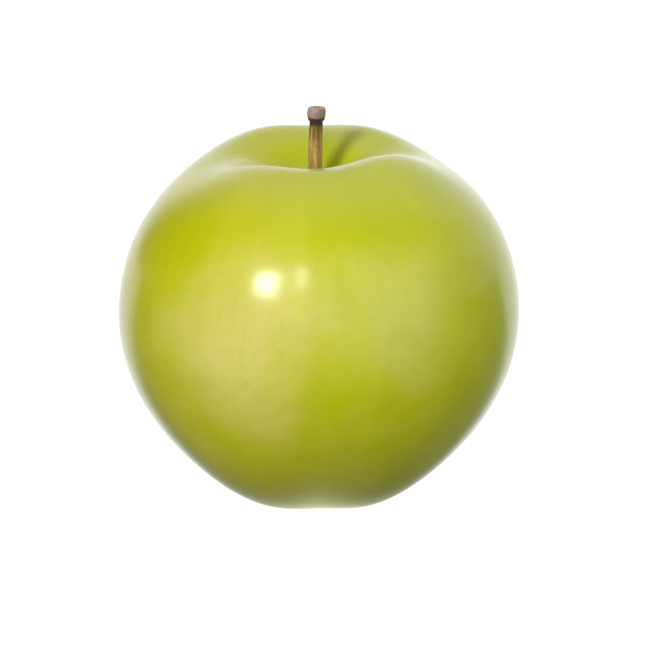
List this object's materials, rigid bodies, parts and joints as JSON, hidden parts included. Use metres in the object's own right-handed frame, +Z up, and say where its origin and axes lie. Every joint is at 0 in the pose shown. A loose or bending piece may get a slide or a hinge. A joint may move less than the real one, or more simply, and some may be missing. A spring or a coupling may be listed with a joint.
{
  "type": "apple",
  "caption": "Round green apple with a deep stem cavity, a short leaning woody stem and a dried calyx in the basin underneath.",
  "frame": {"origin": "on the resting plane, under the middle of the apple", "axes": "+Z up the apple's core towards the stem, +X to the right and +Y away as seen from the front"},
  "size_m": [0.0786, 0.0786, 0.0776],
  "materials": {
    "skin": "smooth waxy skin with a soft gloss, yellow-green",
    "stem": "dry, ridged, matt, olive brown to orange brown",
    "calyx": "dried, papery and matt, grey brown"
  },
  "bodies": {
    "root": {"fruit": "skin", "stem": "stem", "sepal_1": "calyx", "sepal_2": "calyx", "sepal_3": "calyx", "sepal_4": "calyx", "sepal_5": "calyx", "dried_stamens": "calyx"}
  },
  "joints": []
}
